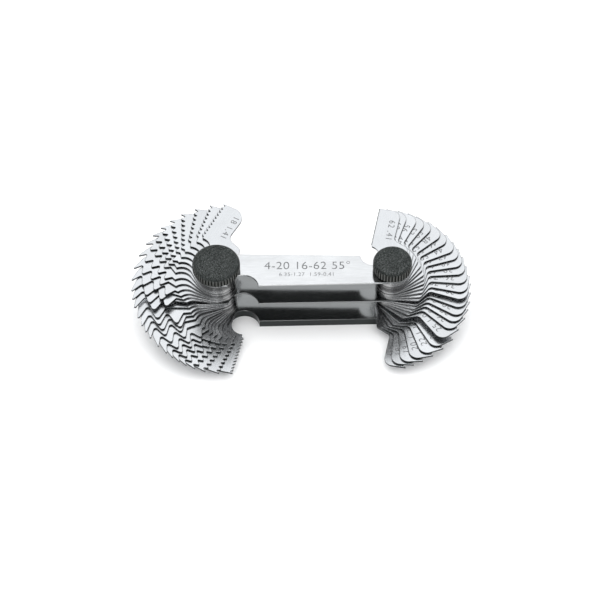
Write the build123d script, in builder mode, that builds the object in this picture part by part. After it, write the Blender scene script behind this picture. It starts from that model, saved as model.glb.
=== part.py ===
"""Double-ended screw pitch gauge: two fans of toothed leaves between three handle plates.

Frame: +X from the coarse end's pivot to the fine end's pivot, +Y towards the back edge, +Z up.
The origin is on the underside of the bottom plate, half way between the two pivots.
All lengths are in millimetres and all angles in degrees. The leaves stand fanned out.
"""
from build123d import *
import os
from math import acos, atan2, cos, degrees, hypot, pi, radians, sin, sqrt

os.makedirs("parts", exist_ok=True)

# ---- driving dimensions: handle ----
PIVOT_SPACING = 56.0
COARSE_HALF_WIDTH = 6.4  # of the handle at the coarse end's pivot
FINE_HALF_WIDTH = 5.35  # of the handle at the fine end's pivot
BOTTOM_T = 3.0
SLOT_H = 9.0  # clear height of each of the two leaf slots
SHEET_T = 0.6  # middle and top plate

# ---- driving dimensions: leaves ----
LEAF_T = 0.6
SPACER_T = 1.2
UPPER_LEAVES = 14  # leaves in the upper slot, at either end
SPACER_AFTER = 19  # the fine end's spacer lies under this leaf
INCH = 25.4
ROUNDED_PITCH = 1.2  # teeth at least this long have their rounded crests and roots

# ---- driving dimensions: thumb screws ----
SHANK_R = 2.5
RUNNING_CLEARANCE = 0.05
HOLE_R = SHANK_R + RUNNING_CLEARANCE
KNURL_PITCH = 1.01  # round a head, rounded to whole grooves
KNURL_DEPTH = 0.3
# Corners of a head's upper rim from its face down, and of its lower rim: inward and along the axis.
UPPER_RIM = ((0.8, 0), (0.5, 0.12), (0.15, 0.6), (0, 1.05))
LOWER_RIM = (0.9, 1.05)
SCREW_RECESS = 0.3  # the shank's end above the underside
HEAD_CLEARANCE = 0.05  # between the top plate and a head

# Heights of the stack, from the underside up.
LOWER_SLOT_Z = BOTTOM_T
MIDDLE_Z = LOWER_SLOT_Z + SLOT_H
UPPER_SLOT_Z = MIDDLE_Z + SHEET_T
TOP_Z = UPPER_SLOT_Z + SLOT_H
HEAD_Z = TOP_Z + SHEET_T

# Threads per inch, and the heading in which each leaf stands open, from the top leaf down.
COARSE_TPI = [18, 16, 14, 13, 12, 11, 10, 9, 8, 7, 6, 5, 4.5, 4,
              4, 4.5, 4.5, 5, 5.5, 6, 7, 8, 10, 12, 14, 16, 20]
COARSE_HEADINGS = [61.8, 71, 81.5, 91.3, 100, 108, 115.5, 123, 133, 143, 152, 160, 166, 172,
                   179, 185, 190, 195, 203, 210, 215, 220, 225, 231, 238, 247, 256]
FINE_TPI = [62, 60, 56, 52, 50, 48, 46, 44, 42, 40, 38, 36, 34, 32,
            30, 28, 27, 26, 25, 24, 22, 20, 19, 18, 16]
FINE_HEADINGS = [79, 73.5, 65, 58, 51.5, 42, 35, 26, 19, 12, 5, -3, -11, -17,
                 -23, -30, -36, -43, -53, -60, -70, -79, -87, -94, -100]

# A leaf's shape, with its pivot at (0, 0) and its toothed edge along +X at y = crest.
# The radii are those of its lobe, its waist and its back corner.
COARSE_FORM = dict(end_r=6.2, neck=(5.9, 3.75), crest=11.4, tip=25.1, root=10.4, lobe=(11.3, -2.4),
                   waist=(13.2, 3.05), back=2.6, radii=(1.5, 3.0, 4.5))
FINE_FORM = dict(end_r=5.2, neck=(4.8, 3.6), crest=8.4, tip=24.1, root=8.9, lobe=(9.9, -3.1),
                 waist=(12.2, 1.5), back=1.1, radii=(0.9, 1.6, 2.8))


def polar(radius, angle):
    """A point at a distance and an angle from the pivot."""
    return (radius * cos(radians(angle)), radius * sin(radians(angle)))


def half_width(x):
    """Half the handle's width at x: it tapers evenly from the coarse pivot to the fine one."""
    share = x / PIVOT_SPACING + 0.5
    return COARSE_HALF_WIDTH + (FINE_HALF_WIDTH - COARSE_HALF_WIDTH) * share


def save(part, name):
    part.label = name
    export_step(part, f"parts/{name}.step")


# ---- handle plates ----
# Finger notches, one at the coarse end's front edge and one at the fine end's back edge:
# centre x, how far the centre lies outside the edge, radius, and the side of the handle.
NOTCHES = ((-PIVOT_SPACING / 2 + 8.5, 0.7, 5.0, -1), (PIVOT_SPACING / 2 - 6.2, 0.2, 3.9, 1))


def make_plate(name, bottom, thickness):
    left, right = -PIVOT_SPACING / 2, PIVOT_SPACING / 2
    coarse_w, fine_w = COARSE_HALF_WIDTH, FINE_HALF_WIDTH
    with BuildPart() as plate:
        with BuildSketch(Plane.XY.offset(bottom)):
            with BuildLine():
                Line((left, -coarse_w), (right, -fine_w))
                ThreePointArc((right, -fine_w), (right + fine_w, 0), (right, fine_w))
                Line((right, fine_w), (left, coarse_w))
                ThreePointArc((left, coarse_w), (left - coarse_w, 0), (left, -coarse_w))
            make_face()
            for x, outside, radius, side in NOTCHES:
                with Locations((x, side * (half_width(x) + outside))):
                    Circle(radius, mode=Mode.SUBTRACT)
            with Locations((left, 0), (right, 0)):
                Circle(HOLE_R, mode=Mode.SUBTRACT)
        extrude(amount=thickness)
        long_edges = plate.edges().filter_by(Axis.Z, reverse=True)
        chamfer(long_edges.group_by(Axis.Z)[-1], length=0.08)
    save(plate.part, name)


make_plate("bottom_plate", 0, BOTTOM_T)
make_plate("middle_plate", MIDDLE_Z, SHEET_T)
make_plate("top_plate", TOP_Z, SHEET_T)


# ---- thumb screws ----
def make_thumb_screw(name, x, head_r, head_h):
    """A knurled head on a plain shank that runs through the whole stack."""
    under = HEAD_Z + HEAD_CLEARANCE
    top = HEAD_Z + head_h
    upper_rim = [(head_r - inward, top - down) for inward, down in reversed(UPPER_RIM)]
    knurls = round(2 * pi * head_r / KNURL_PITCH)
    with BuildPart() as screw:
        with BuildSketch(Plane((x, 0, 0), x_dir=(1, 0, 0), z_dir=(0, -1, 0))):
            with BuildLine():
                Polyline((0, SCREW_RECESS), (SHANK_R - 0.4, SCREW_RECESS), (SHANK_R, SCREW_RECESS + 0.4),
                         (SHANK_R, under), (head_r - LOWER_RIM[0], under),
                         (head_r, under + LOWER_RIM[1]), *upper_rim, (0, top), close=True)
            make_face()
        revolve(axis=Axis((x, 0, 0), (0, 0, 1)))
        with BuildSketch(Plane((x, 0, HEAD_Z))):
            with PolarLocations(head_r + 0.1, knurls):
                Polygon((0, KNURL_DEPTH), (-KNURL_DEPTH - 0.1, 0), (0, -KNURL_DEPTH), align=None)
        extrude(amount=head_h + 0.5, mode=Mode.SUBTRACT)
    save(screw.part, name)


make_thumb_screw("thumb_screw_coarse", -PIVOT_SPACING / 2, head_r=7.6, head_h=4.15)
make_thumb_screw("thumb_screw_fine", PIVOT_SPACING / 2, head_r=6.2, head_h=4.65)


# ---- leaves ----
def tooth_points(form, pitch):
    """Corners of a Whitworth 55 degree edge from the root to the tip, and their corner radii.

    The corners of a coarse edge lie beyond its crests and roots, and are rounded back to them.
    A fine edge has flat crests and roots instead, and no radii.
    """
    sharp_height = 0.960491 * pitch
    depth = 2 / 3 * sharp_height
    crest, tip = form["crest"], form["tip"]
    valley = crest - depth
    flank = depth * 0.5206  # tan(55/2): how far a flank runs along the edge
    flat = pitch / 12
    crests = int((tip - form["root"] - pitch / 3) / pitch)
    if pitch < ROUNDED_PITCH:
        points = [(0, valley)]
        for i in range(crests, 0, -1):
            x = tip - i * pitch
            points += [(x - flat - flank, valley), (x - flat, crest), (x + flat, crest)]
            points += [(x + flat + flank, valley)]
        return points + [(tip - flat - flank, valley), (tip - flat, crest), (tip, crest)], None
    beyond = sharp_height / 6
    points = [(0, valley), (tip - crests * pitch - flat - flank, valley)]
    for i in range(crests, 0, -1):
        points += [(tip - i * pitch, crest + beyond), (tip - (i - 0.5) * pitch, valley - beyond)]
    return points + [(tip, crest + beyond)], [0.05 * pitch] + [0.137329 * pitch] * (2 * crests)


def make_leaf(name, pivot_x, z, heading, form, tpi):
    """One pitch leaf, turned about its pivot to its open heading."""
    end_r, (neck_x, neck_r) = form["end_r"], form["neck"]
    lobe, waist, back, tip = form["lobe"], form["waist"], form["back"], form["tip"]
    # The lobe's outer edge is the tangent from the lobe's corner to the round pivot end.
    reach = hypot(*lobe)
    touch = degrees(atan2(lobe[1], lobe[0])) - degrees(acos(end_r / reach))
    points, radii = tooth_points(form, INCH / tpi)
    plane = Plane(origin=(pivot_x, 0, z), x_dir=(*polar(1, heading), 0), z_dir=(0, 0, 1))
    with BuildPart() as leaf:
        with BuildSketch(plane):
            with BuildLine():
                Line((tip, form["crest"]), (neck_x + neck_r, form["crest"]))
                Line((neck_x + neck_r, form["crest"]), (neck_x + neck_r, end_r + neck_r))
                neck_mid = (neck_x + neck_r * sqrt(0.5), end_r + neck_r * (1 - sqrt(0.5)))
                ThreePointArc((neck_x + neck_r, end_r + neck_r), neck_mid, (neck_x, end_r))
                Line((neck_x, end_r), (0, end_r))
                ThreePointArc((0, end_r), polar(end_r, 90 + (touch + 270) / 2), polar(end_r, touch))
                FilletPolyline(polar(end_r, touch), lobe, waist, (tip, back), (tip, form["crest"]),
                               radius=form["radii"])
            make_face()
            with BuildLine():
                teeth = FilletPolyline(*points, radius=radii) if radii else Polyline(*points)
                above = form["crest"] + INCH / tpi
                Polyline(teeth @ 1, (tip, above), (0, above), teeth @ 0)
            make_face(mode=Mode.SUBTRACT)
            Circle(HOLE_R, mode=Mode.SUBTRACT)
        extrude(amount=LEAF_T)
    save(leaf.part, name)


def make_stack(end, pivot_x, form, numbers, slot_z, spacer_after=None):
    """The leaves of one slot at one end, evenly spread over its height, the first one on top."""
    tpi, headings = (COARSE_TPI, COARSE_HEADINGS) if end == "coarse" else (FINE_TPI, FINE_HEADINGS)
    spacer = SPACER_T if spacer_after else 0
    pieces = len(numbers) + (1 if spacer_after else 0)
    clearance = (SLOT_H - len(numbers) * LEAF_T - spacer) / (pieces + 1)
    z = slot_z + SLOT_H
    for number in numbers:
        z -= clearance + LEAF_T
        name = f"leaf_{end}_{number:02d}"
        make_leaf(name, pivot_x, z, headings[number - 1], form, tpi[number - 1])
        if number == spacer_after:
            z -= clearance + SPACER_T
            make_spacer(pivot_x, z)


def make_spacer(pivot_x, z):
    with BuildPart() as spacer:
        with BuildSketch(Plane((pivot_x, 0, z))):
            Circle(FINE_FORM["end_r"] - 0.4)
            Circle(HOLE_R, mode=Mode.SUBTRACT)
        extrude(amount=SPACER_T)
    save(spacer.part, "spacer_washer")


lower = UPPER_LEAVES + 1
for end, x, form, tpi, spacer_after in (("coarse", -PIVOT_SPACING / 2, COARSE_FORM, COARSE_TPI, None),
                                        ("fine", PIVOT_SPACING / 2, FINE_FORM, FINE_TPI, SPACER_AFTER)):
    make_stack(end, x, form, range(1, lower), UPPER_SLOT_Z)
    make_stack(end, x, form, range(lower, len(tpi) + 1), LOWER_SLOT_Z, spacer_after)
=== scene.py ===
"""Looks of the double-ended screw pitch gauge: steel, stamped numbers, studio and camera.

The frame is the model's own: +X from the coarse end's pivot to the fine end's pivot, +Y towards the
back edge, +Z up, all in metres. Every leaf lies in the plane z = constant and turns about Z.
"""

import math
import random

import bpy
from mathutils import Matrix, Vector


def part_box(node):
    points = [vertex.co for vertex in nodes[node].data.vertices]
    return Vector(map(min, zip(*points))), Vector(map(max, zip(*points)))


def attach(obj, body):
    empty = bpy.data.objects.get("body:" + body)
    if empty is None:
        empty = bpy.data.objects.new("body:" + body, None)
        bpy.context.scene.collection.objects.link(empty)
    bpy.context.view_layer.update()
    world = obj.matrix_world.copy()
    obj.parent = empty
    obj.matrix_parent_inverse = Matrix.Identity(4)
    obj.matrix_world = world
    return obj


MM = 0.001

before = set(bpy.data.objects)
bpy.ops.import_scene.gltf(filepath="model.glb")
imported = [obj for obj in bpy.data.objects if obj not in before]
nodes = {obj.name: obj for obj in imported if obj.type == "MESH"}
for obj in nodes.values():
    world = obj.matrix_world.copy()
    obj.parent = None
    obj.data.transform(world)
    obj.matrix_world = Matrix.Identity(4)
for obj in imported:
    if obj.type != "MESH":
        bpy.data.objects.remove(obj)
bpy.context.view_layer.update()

# ---- what the leaves are ----
# Threads per inch and open heading in degrees, from the top leaf down.
COARSE = [(18, 61.8), (16, 71), (14, 81.5), (13, 91.3), (12, 100), (11, 108), (10, 115.5), (9, 123),
          (8, 133), (7, 143), (6, 152), (5, 160), (4.5, 166), (4, 172), (4, 179), (4.5, 185), (4.5, 190),
          (5, 195), (5.5, 203), (6, 210), (7, 215), (8, 220), (10, 225), (12, 231), (14, 238),
          (16, 247), (20, 256)]
FINE = [(62, 79), (60, 73.5), (56, 65), (52, 58), (50, 51.5), (48, 42), (46, 35), (44, 26), (42, 19),
        (40, 12), (38, 5), (36, -3), (34, -11), (32, -17), (30, -23), (28, -30), (27, -36), (26, -43),
        (25, -53), (24, -60), (22, -70), (20, -79), (19, -87), (18, -94), (16, -100)]
PIVOT_X = {"coarse": -28 * MM, "fine": 28 * MM}
# Where a leaf's number is centred: along the leaf from its pivot, and in from its heading line.
NUMBER_AT = {"coarse": (17.4 * MM, 4.9 * MM), "fine": (15.9 * MM, 3.4 * MM)}
NUMBER_HEIGHT = 2.1 * MM
MARK_THICKNESS = 0.012 * MM
CAPITAL_SHARE = 0.72  # of the letter size, which a capital or a number stands high
INCH_MM = 25.4


# ---- materials ----
SOCKETS = {"specular_ior_level": "Specular IOR Level"}


class Nodes:
    """Short calls that add shader nodes to a tree and link them."""

    def __init__(self, tree):
        self.tree = tree

    def feed(self, node, socket, value):
        """Links an output to a socket, or writes a plain value on it."""
        if isinstance(value, bpy.types.NodeSocket):
            self.tree.links.new(value, node.inputs[socket])
        elif isinstance(value, tuple) and len(value) == 3 and node.inputs[socket].type == "RGBA":
            node.inputs[socket].default_value = (*value, 1)
        else:
            node.inputs[socket].default_value = value

    def node(self, kind, output=0, inputs=None, **settings):
        made = self.tree.nodes.new("ShaderNode" + kind)
        for key, value in settings.items():
            setattr(made, key, value)
        for socket, value in (inputs or {}).items():
            self.feed(made, socket, value)
        return made.outputs[output]

    def math(self, operation, first, second=0.0):
        return self.node("Math", operation=operation, inputs={0: first, 1: second})

    def ramp(self, value, low, high, to_low=0.0, to_high=1.0):
        """value eased from low..high to to_low..to_high, and held there beyond."""
        return self.node("MapRange", interpolation_type="SMOOTHSTEP",
                         inputs={0: value, 1: low, 2: high, 3: to_low, 4: to_high})

    def mix(self, share, first, second):
        return self.node("Mix", output=2, data_type="RGBA",
                         inputs={0: share, 6: first, 7: second})

    def up(self, direction):
        """The upward part of a direction."""
        return self.node("SeparateXYZ", output=2, inputs={0: direction})


class Shader(Nodes):
    """A material with a Principled shader, and the patterns that feed it."""

    def __init__(self, name):
        self.material = bpy.data.materials.new(name)
        self.material.use_nodes = True
        super().__init__(self.material.node_tree)
        self.bsdf = self.tree.nodes["Principled BSDF"]

    def set(self, **values):
        for key, value in values.items():
            self.feed(self.bsdf, SOCKETS.get(key, key.replace("_", " ").title()), value)

    def place(self, turn=0.0, scale=(1, 1, 1), offset=(0, 0, 0)):
        """Object coordinates turned about Z, so that X runs along turn, and scaled per metre."""
        coordinates = self.node("TexCoord", output="Object")
        turned = self.node("Mapping", inputs={"Vector": coordinates, "Rotation": (0, 0, -turn)})
        return self.node("Mapping", inputs={"Vector": turned, "Scale": scale, "Location": offset})

    def reach(self, x):
        """The distance from the upright axis through x."""
        away = self.node("VectorMath", operation="SUBTRACT",
                         inputs={0: self.node("TexCoord", output="Object"), 1: (x, 0, 0)})
        flat = self.node("VectorMath", operation="MULTIPLY", inputs={0: away, 1: (1, 1, 0)})
        return self.node("VectorMath", operation="LENGTH", output="Value", inputs={0: flat})

    def rolled(self, radius):
        """The normal as if the edges were rolled to a radius."""
        return self.node("Bevel", samples=8, inputs={"Radius": radius})

    def flatness(self, radius):
        """How closely the rolled normal keeps to the true one: 1 away from the edges."""
        return self.node("VectorMath", operation="DOT_PRODUCT", output="Value",
                         inputs={0: self.rolled(radius),
                                 1: self.node("NewGeometry", output="True Normal")})

    def facing_up(self):
        """How far the surface faces up: 1 on top, 0 on a side and -1 underneath."""
        return self.up(self.node("NewGeometry", output="True Normal"))

    def openness(self, distance, samples):
        """How open the surface is to its neighbours within a distance, from 0 to 1."""
        return self.node("AmbientOcclusion", output="AO", samples=samples, inputs={"Distance": distance})

    def noise(self, where, detail=2.0, roughness=0.5):
        return self.node("TexNoise", inputs={"Vector": where, "Scale": 1.0, "Detail": detail,
                                             "Roughness": roughness})


HUB_ENDS = (8 * MM, 12 * MM)  # how far from its pivot a leaf's round end gives way to its outer part


def steel(name, turn, face, side, seed=0.0, rough=(0.2, 0.3), underside_shade=None, pivot=None, hub_side_highlight=None):
    """Ground steel: fine grain along turn, soft stains and scratches, rolled edges and own sides.

    A leaf, which has a pivot, also has a painted dark reflection along the rims of its stamped
    edges, and near black sides, partly sheared steel and partly painted shade. Its round end has
    neither: its sides take the given lighter colour, a painted highlight. A plate given an
    underside colour has that painted shade underneath.
    """
    made = Shader(name)
    shift = (seed * 3.7, seed * 1.9, seed)
    grain = made.noise(made.place(turn, (250, 5200, 5200), shift), 3, 0.6)
    stain = made.noise(made.place(turn, (90, 160, 160), shift), 3, 0.55)
    scratch = made.noise(made.place(turn + 0.5, (110, 9000, 9000), shift), 1)
    tone = made.ramp(stain, 0.3, 0.7, 0.92, 1.03)
    tone = made.math("MULTIPLY", tone, made.ramp(grain, 0.25, 0.75, 0.95, 1.03))
    tone = made.math("MULTIPLY", tone, made.ramp(scratch, 0.70, 0.76, 1.0, 0.93))
    # Painted shade: the colour darkens where neighbouring surfaces close in within 0.4 mm, such as under
    # the edge of the leaf or plate above.
    tone = made.math("MULTIPLY", tone, made.ramp(made.openness(0.4 * MM, 4), 0.45, 0.9, 0.5, 1.0))
    color = made.node("VectorMath", operation="SCALE", inputs={0: face, "Scale": tone})
    up = made.facing_up()
    if pivot is not None:
        outer = made.ramp(made.reach(pivot), *HUB_ENDS)
        # Painted reflection: away from the round end, the colour darkens to the side colour within 0.25
        # mm of an edge, standing in for the dark reflection of the rolled rims.
        painted_dark_edge = made.ramp(made.flatness(0.25 * MM), 0.86, 0.985, 0.9, 0.0)
        painted_dark_edge = made.math("MULTIPLY", painted_dark_edge, outer)
        color = made.mix(painted_dark_edge, color, side)
        # Painted highlight: near the pivot the sides take the lighter round-end colour so they show
        # bright lines. Further out they take the near black side colour.
        side = made.mix(outer, hub_side_highlight, side)
    color = made.mix(made.ramp(made.math("ABSOLUTE", up), 0.15, 0.5), side, color)
    # Painted shade: a plate's underside takes a dark colour.
    if underside_shade:
        color = made.mix(made.ramp(up, -0.9, -0.5, 1.0, 0.0), color, underside_shade)
    rough = made.ramp(made.math("ADD", made.math("MULTIPLY", grain, 0.5), stain), 0.5, 1.0, *rough)
    bump = made.node("Bump", inputs={"Strength": 0.2, "Distance": 0.01 * MM, "Height": grain,
                                     "Normal": made.rolled(0.22 * MM)})
    made.set(base_color=color, metallic=1.0, roughness=rough, normal=bump)
    return made.material


def black_steel(name, pivot, top):
    """Blackened, blasted steel: a crowned face, a grain of specks with painted glints, and knurling
    whose crests are rubbed paler and painted as highlights, with painted shade in its grooves.

    Noise is weakest where a coordinate is whole, so the flat face at top is kept off those heights.
    """
    made = Shader(name)
    grain = (5000, 5000, 5000)
    speck_shift = (0, 0, 0.37 - top * grain[2])
    glint_shift = (5, 3, 0.6 - top * grain[2])
    speck = made.noise(made.place(scale=grain, offset=speck_shift), 3, 0.75)
    glint = made.noise(made.place(scale=grain, offset=glint_shift), 1)
    cloud = made.noise(made.place(scale=(260, 260, 260)), 2)
    up = made.facing_up()
    side = made.ramp(up, 0.2, 0.5, 1.0, 0.0)
    groove = made.openness(0.6 * MM, 8)
    # The open crests of the knurl's skirt are rubbed paler, and this lighter colour also serves as their
    # painted highlight.
    worn_and_highlit = made.math("MULTIPLY", made.ramp(groove, 0.82, 0.98), side)
    color = made.mix(made.ramp(speck, 0.42, 0.62), (0.001, 0.002, 0.0018), (0.022, 0.028, 0.026))
    # Painted glints: sparse pale specks painted into the colour of the blasted face.
    color = made.mix(made.ramp(glint, 0.62, 0.72), color, (0.16, 0.175, 0.17))
    color = made.mix(made.math("MULTIPLY", worn_and_highlit, 0.28), color, (0.25, 0.25, 0.235))
    # Painted shade: the knurl's grooves, closed in within 0.6 mm, are painted near black.
    color = made.mix(made.ramp(groove, 0.65, 0.95), (0.001, 0.0015, 0.0014), color)
    fall = made.math("POWER", made.math("DIVIDE", made.reach(pivot), 7 * MM), 2.0)
    crown = made.node("Bump", inputs={"Strength": 1.0, "Distance": -0.6 * MM, "Height": fall})
    bump = made.node("Bump", inputs={"Strength": 0.7, "Distance": 0.05 * MM, "Height": speck,
                                     "Normal": crown})
    gloss = made.math("MULTIPLY", made.ramp(groove, 0.65, 0.95, 0.05, 1.0),
                      made.ramp(up, 0.1, 0.9, 0.2, 1.0))
    gloss = made.math("MULTIPLY", gloss, made.ramp(speck, 0.42, 0.62, 0.1, 0.85))
    made.set(base_color=color, roughness=made.ramp(cloud, 0.3, 0.7, 0.34, 0.46), normal=bump,
             specular_ior_level=gloss)
    return made.material


def mark_paint():
    """The dark floor of a stamped or engraved mark."""
    made = Shader("stamped_mark")
    wear = made.noise(made.place(scale=(1500, 1500, 1500)), 2)
    color = made.mix(made.ramp(wear, 0.35, 0.7), (0.12, 0.123, 0.126), (0.30, 0.305, 0.31))
    made.set(base_color=color, metallic=0.6, roughness=made.ramp(wear, 0.3, 0.7, 0.5, 0.7))
    return made.material


def paint(thing, material):
    thing.data.materials.clear()
    thing.data.materials.append(material)


FACE = (0.690, 0.703, 0.718)
# Near black sides of the leaves and spacer, partly sheared steel and partly painted shade.
SIDE = (0.030, 0.034, 0.034)
# Painted shade for the undersides of the top and middle plates, which face into the slots.
UNDERSIDE_SHADE = (0.05, 0.053, 0.053)

# The faces, sides and undersides of the plates. The middle and bottom plates' faces are painted
# darker than the top plate's, a painted shade for lying inside the slots. The sides are painted
# darker from the top plate down, a painted shade that is darkest on the bottom plate's side beside
# the floor's shadow, and the top and middle plates' undersides carry a painted shade.
PLATES = {"bottom_plate": ((0.22, 0.226, 0.226), (0.045, 0.05, 0.05), None),
          "middle_plate": ((0.23, 0.236, 0.236), (0.22, 0.226, 0.226), UNDERSIDE_SHADE),
          "top_plate": ((0.66, 0.668, 0.675), (0.4, 0.41, 0.41), UNDERSIDE_SHADE)}
for plate, (face, side, underside_shade) in PLATES.items():
    paint(nodes[plate], steel(f"{plate}_steel", 0.0, face, side, rough=(0.10, 0.16), underside_shade=underside_shade))
paint(nodes["spacer_washer"], steel("spacer_steel", 0.7, FACE, SIDE))

for end, x in PIVOT_X.items():
    screw = f"thumb_screw_{end}"
    paint(nodes[screw], black_steel(f"black_screw_{end}", x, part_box(screw)[1].z))


# ---- leaves and their numbers ----
mark = mark_paint()


def engrave(name, words, centre, height, turn, spacing, body, thin):
    """A flat mark just proud of a face, centred at a point and reading along turn.

    Its strokes are thinned on either side by thin, as a share of the letter size.
    """
    text = bpy.data.curves.new(name, "FONT")
    text.body = words
    text.align_x, text.align_y = "CENTER", "CENTER"
    text.size = height / CAPITAL_SHARE
    text.space_character = spacing
    text.offset = -thin * text.size
    text.extrude = MARK_THICKNESS / 2
    text.materials.append(mark)
    piece = bpy.data.objects.new(name, text)
    bpy.context.scene.collection.objects.link(piece)
    piece.matrix_world = Matrix.Translation(centre) @ Matrix.Rotation(turn, 4, "Z")
    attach(piece, body)


rng = random.Random(7)
for end, leaves in (("coarse", COARSE), ("fine", FINE)):
    for number, (tpi, heading) in enumerate(leaves, 1):
        name = f"leaf_{end}_{number:02d}"
        turn = math.radians(heading)
        shade = rng.uniform(0.93, 1.02)
        side_shade = rng.uniform(0.4, 1.6)
        # Painted highlight lines on the round end's sides, lighter by a random amount from leaf to leaf.
        hub_side_highlight = 0.10 + 0.38 * rng.random()
        face = tuple(shade * c for c in FACE)
        side = tuple(side_shade * c for c in SIDE)
        paint(nodes[name], steel(f"{name}_steel", turn, face, side, number + rng.random(),
                                 pivot=PIVOT_X[end], hub_side_highlight=(hub_side_highlight, hub_side_highlight, hub_side_highlight)))

        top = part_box(name)[1].z
        along, across = NUMBER_AT[end]
        centre = Vector((along, across, 0))
        centre.rotate(Matrix.Rotation(turn, 3, "Z"))
        centre += Vector((PIVOT_X[end], 0, top))
        words = f"{tpi:g} {INCH_MM / tpi:.2f}".replace(" 0.", " .")
        engrave(f"number_{end}_{number:02d}", words, centre, NUMBER_HEIGHT, turn + math.pi, 1.15,
                name, 0.0)

# ---- marks on the top plate ----
plate_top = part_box("top_plate")[1].z
engrave("mark_inch", "4-20 16-62 55°", Vector((1.0 * MM, 1.5 * MM, plate_top)), 3.1 * MM, 0,
        1.05, "handle", 0.006)
engrave("mark_metric", "6.35-1.27  1.59-0.41", Vector((0.8 * MM, -1.9 * MM, plate_top)), 1.45 * MM, 0,
        1.08, "handle", 0.004)

# ---- studio ----
scene = bpy.context.scene
scene.view_settings.view_transform = "Standard"

world = bpy.data.worlds.new("studio")
scene.world = world
world.use_nodes = True

# The steel reflects a room that is brightest above and behind the object. The camera sees it white.
BRIGHTEST = (0, 0.35, 0.937)
sky = Nodes(world.node_tree)
direction = sky.node("TexCoord", output="Generated")
facing = sky.node("VectorMath", operation="DOT_PRODUCT", output="Value",
                  inputs={0: direction, 1: BRIGHTEST})
dome = sky.ramp(facing, 0.80, 0.93, 0.48, 1.4)
ceiling = sky.ramp(sky.up(direction), 0.3, 0.9, 0.0, 0.55)
seen = sky.node("LightPath", output="Is Camera Ray")
background = world.node_tree.nodes["Background"]
sky.feed(background, "Strength", sky.math("MAXIMUM", sky.math("MAXIMUM", dome, ceiling), seen))
sky.feed(background, "Color", (0.97, 0.985, 1.0))

FLOOR_REACH = 2.0
floor_mesh = bpy.data.meshes.new("floor")
corners = [(x * FLOOR_REACH, y * FLOOR_REACH, 0) for x, y in ((-1, -1), (1, -1), (1, 1), (-1, 1))]
floor_mesh.from_pydata(corners, [], [(0, 1, 2, 3)])
floor = bpy.data.objects.new("floor", floor_mesh)
scene.collection.objects.link(floor)
floor_shader = Shader("floor_white")
floor_shader.set(base_color=(0.93, 0.93, 0.93), roughness=0.9)
paint(floor, floor_shader.material)


MIDDLE = Vector((0, 0, 0.01))  # of the object


def area_light(name, place, size, radiance):
    """A soft square light at a place, facing the object, whose surface is as bright as radiance."""
    light = bpy.data.lights.new(name, "AREA")
    light.size = size
    light.energy = radiance * math.pi * size * size
    lamp = bpy.data.objects.new(name, light)
    scene.collection.objects.link(lamp)
    lamp.location = place
    lamp.rotation_euler = (MIDDLE - lamp.location).to_track_quat("-Z", "Y").to_euler()
    return lamp


# The wash lights the floor and stays out of reflections. The fill is only a reflection.
wash = area_light("floor_wash", Vector((0.0, 0.0, 1.3)), 2.5, 1.7)
wash.visible_glossy = False
fill = area_light("front_fill", Vector((-0.15, -0.78, 0.6)), 0.4, 3.0)
fill.visible_diffuse = False

# ---- camera ----
CAMERA_AT = Vector((1.9, -491.0, 665.1)) * MM
VIEW = Vector((-0.0041, 0.5974, -0.8019)).normalized()
UP = Vector((0.0046, 0.8020, 0.5974)).normalized()
CAMERA_ANGLE = 13.466
camera = bpy.data.objects.new("camera", bpy.data.cameras.new("camera"))
scene.collection.objects.link(camera)
right = VIEW.cross(UP).normalized()
up = right.cross(VIEW)
camera.matrix_world = (Matrix.Translation(CAMERA_AT)
                       @ Matrix((right, up, -VIEW)).transposed().to_4x4())
camera.data.angle = math.radians(CAMERA_ANGLE)
camera.data.clip_start = 0.05
scene.camera = camera
